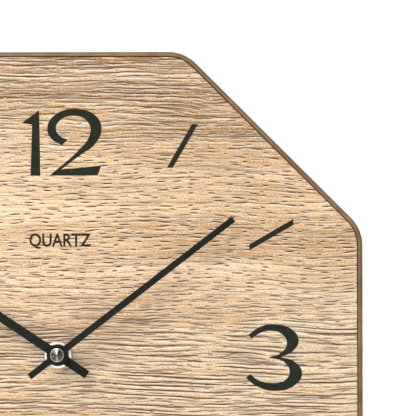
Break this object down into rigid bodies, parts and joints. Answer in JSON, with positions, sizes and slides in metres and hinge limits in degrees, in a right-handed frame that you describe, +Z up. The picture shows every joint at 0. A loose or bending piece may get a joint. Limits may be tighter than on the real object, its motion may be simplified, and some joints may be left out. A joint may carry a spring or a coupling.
{
  "type": "mantel clock",
  "caption": "Octagonal battery mantel clock with an oak decor dial, a narrow brown rim, printed numerals and two straight black hands.",
  "frame": {"origin": "centre of the bounding box at the bottom of the foot pads", "axes": "+Z up, +Y from the dial to the back, +X to the right as seen from the front"},
  "size_m": [0.28, 0.0558, 0.2812],
  "materials": {
    "brown_wood": "satin lacquered brown edge",
    "oak": "matt light oak decor with a horizontal grain",
    "hardboard": "matt brown hardboard",
    "hand_black": "matt black",
    "nickel": "bright nickel, turned",
    "steel": "zinc plated",
    "iron": "plain",
    "brass": "plain",
    "copper": "fine enamelled wire",
    "black_plastic": "fine moulded texture",
    "white_plastic": "moulded acetal",
    "board": "green solder mask",
    "cell": "gloss sleeve",
    "pad": "matt"
  },
  "bodies": {
    "case": {"housing": "brown_wood", "front_plate": "oak", "back_panel": "hardboard", "panel_screw_1": "steel", "panel_screw_2": "steel", "panel_screw_3": "steel", "panel_screw_4": "steel", "panel_screw_5": "steel", "panel_screw_6": "steel", "panel_screw_7": "steel", "panel_screw_8": "steel", "foot_pad_1": "pad", "foot_pad_2": "pad", "foot_pad_3": "pad", "foot_pad_4": "pad", "neck_washer": "steel", "neck_nut": "nickel", "neck_gasket": "pad", "movement_front_shell": "black_plastic", "movement_rear_cover": "black_plastic", "train_bridge": "white_plastic", "stator": "iron", "coil_bobbin": "white_plastic", "coil_winding": "copper", "coil_core": "iron", "circuit_board": "board", "crystal_can": "nickel", "chip_cover": "black_plastic", "positive_contact": "nickel", "negative_contact": "nickel"},
    "minute": {"minute_hand": "hand_black", "hand_cap": "nickel", "centre_wheel": "brass"},
    "hour": {"hour_hand": "hand_black", "hour_wheel": "white_plastic"},
    "motion": {"motion_wheel": "white_plastic"},
    "third": {"third_wheel": "white_plastic"},
    "seconds": {"seconds_wheel": "white_plastic"},
    "intermediate": {"intermediate_wheel": "white_plastic"},
    "motor": {"rotor": "iron"},
    "knob": {"setting_knob": "white_plastic"},
    "cell": {"battery": "cell"}
  },
  "joints": [
    {"name": "minute_turn", "type": "hinge", "parent": "case", "child": "minute", "pos_m": [0, 0, 0.1412], "axis": [0, 1, 0], "continuous": true},
    {"name": "hour_turn", "type": "hinge", "parent": "case", "child": "hour", "pos_m": [0, 0, 0.1412], "axis": [0, 1, 0], "continuous": true},
    {"name": "motion_turn", "type": "hinge", "parent": "case", "child": "motion", "pos_m": [-0.00866, 0, 0.1462], "axis": [0, 1, 0], "continuous": true},
    {"name": "third_turn", "type": "hinge", "parent": "case", "child": "third", "pos_m": [0.00764, 0, 0.14884], "axis": [0, 1, 0], "continuous": true},
    {"name": "seconds_turn", "type": "hinge", "parent": "case", "child": "seconds", "pos_m": [0, 0, 0.1412], "axis": [0, 1, 0], "continuous": true},
    {"name": "intermediate_turn", "type": "hinge", "parent": "case", "child": "intermediate", "pos_m": [0.01082, 0, 0.1383], "axis": [0, 1, 0], "continuous": true},
    {"name": "rotor_turn", "type": "hinge", "parent": "case", "child": "motor", "pos_m": [0.01682, 0, 0.1383], "axis": [0, 1, 0], "continuous": true},
    {"name": "knob_turn", "type": "hinge", "parent": "case", "child": "knob", "pos_m": [-0.01866, 0, 0.1462], "axis": [0, 1, 0], "continuous": true},
    {"name": "battery_out", "type": "slide", "parent": "case", "child": "cell", "axis": [0, 1, 0], "range_m": [0, 0.04]}
  ],
  "couplings": [
    {"joint": "hour_turn", "follows": "minute_turn", "ratio": 0.083333},
    {"joint": "motion_turn", "follows": "minute_turn", "ratio": -0.33333},
    {"joint": "knob_turn", "follows": "minute_turn", "ratio": 1},
    {"joint": "third_turn", "follows": "minute_turn", "ratio": -8},
    {"joint": "seconds_turn", "follows": "minute_turn", "ratio": 60},
    {"joint": "intermediate_turn", "follows": "minute_turn", "ratio": -360},
    {"joint": "rotor_turn", "follows": "minute_turn", "ratio": 1800}
  ]
}
